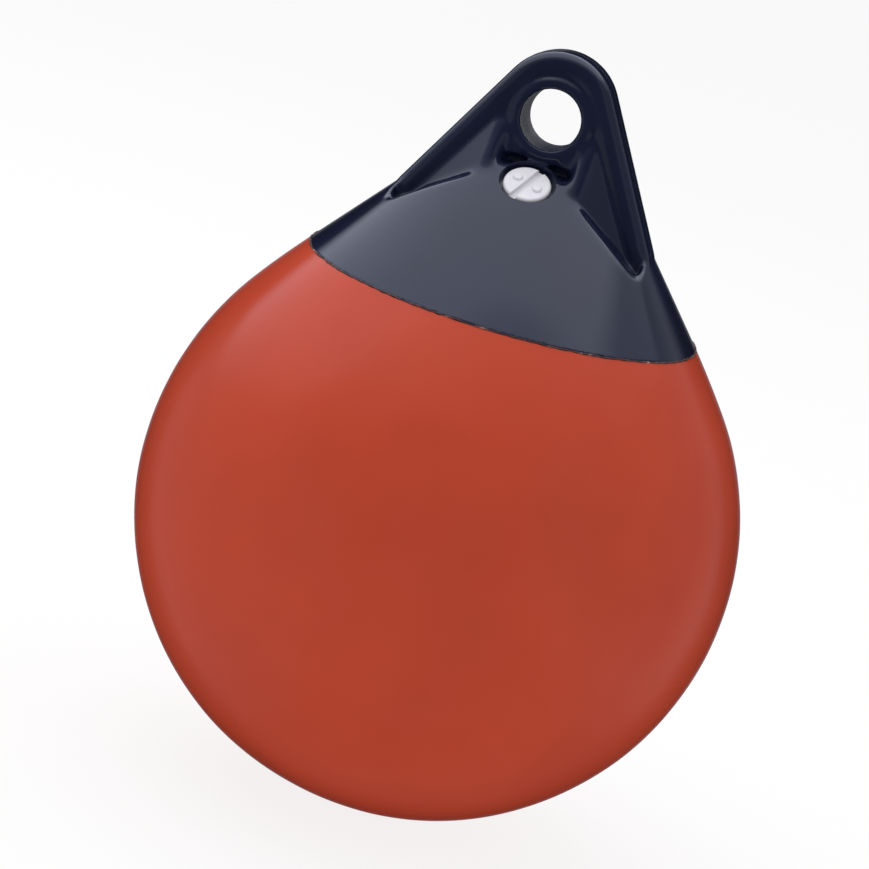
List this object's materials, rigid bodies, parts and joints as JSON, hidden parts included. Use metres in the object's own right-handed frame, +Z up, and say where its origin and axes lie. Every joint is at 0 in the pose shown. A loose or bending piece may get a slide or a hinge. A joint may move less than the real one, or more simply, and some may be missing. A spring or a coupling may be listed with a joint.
{
  "type": "inflatable marker buoy",
  "caption": "Round inflatable vinyl buoy drawn up to a moulded head with a rope eye in a fin and a slotted screw plug in its air valve.",
  "frame": {"origin": "centre of the rope eye", "axes": "+Z up along the buoy's axis, +Y along the rope eye's bore, the valve on the -Y side"},
  "size_m": [0.29, 0.29, 0.378],
  "materials": {
    "red_vinyl": "gloss",
    "navy_vinyl": "gloss",
    "black_nylon": "satin",
    "black_rubber": "matte",
    "white_nylon": "satin"
  },
  "bodies": {
    "buoy": {"body_shell": "red_vinyl", "head": "navy_vinyl", "valve_seat": "black_nylon"},
    "seal": {"valve_seal": "black_rubber"},
    "plug": {"valve_plug": "white_nylon"}
  },
  "joints": [
    {"name": "plug_travel", "type": "slide", "parent": "buoy", "child": "seal", "axis": [0, -0.5821, 0.8131], "range_m": [0, 0.012]},
    {"name": "plug_turn", "type": "hinge", "parent": "seal", "child": "plug", "pos_m": [0, -0.02576, -0.02998], "axis": [0, -0.5821, 0.8131], "range_deg": [0, 1440]}
  ],
  "couplings": [
    {"joint": "plug_travel", "follows": "plug_turn", "m_per_rad": 0.0004774}
  ]
}
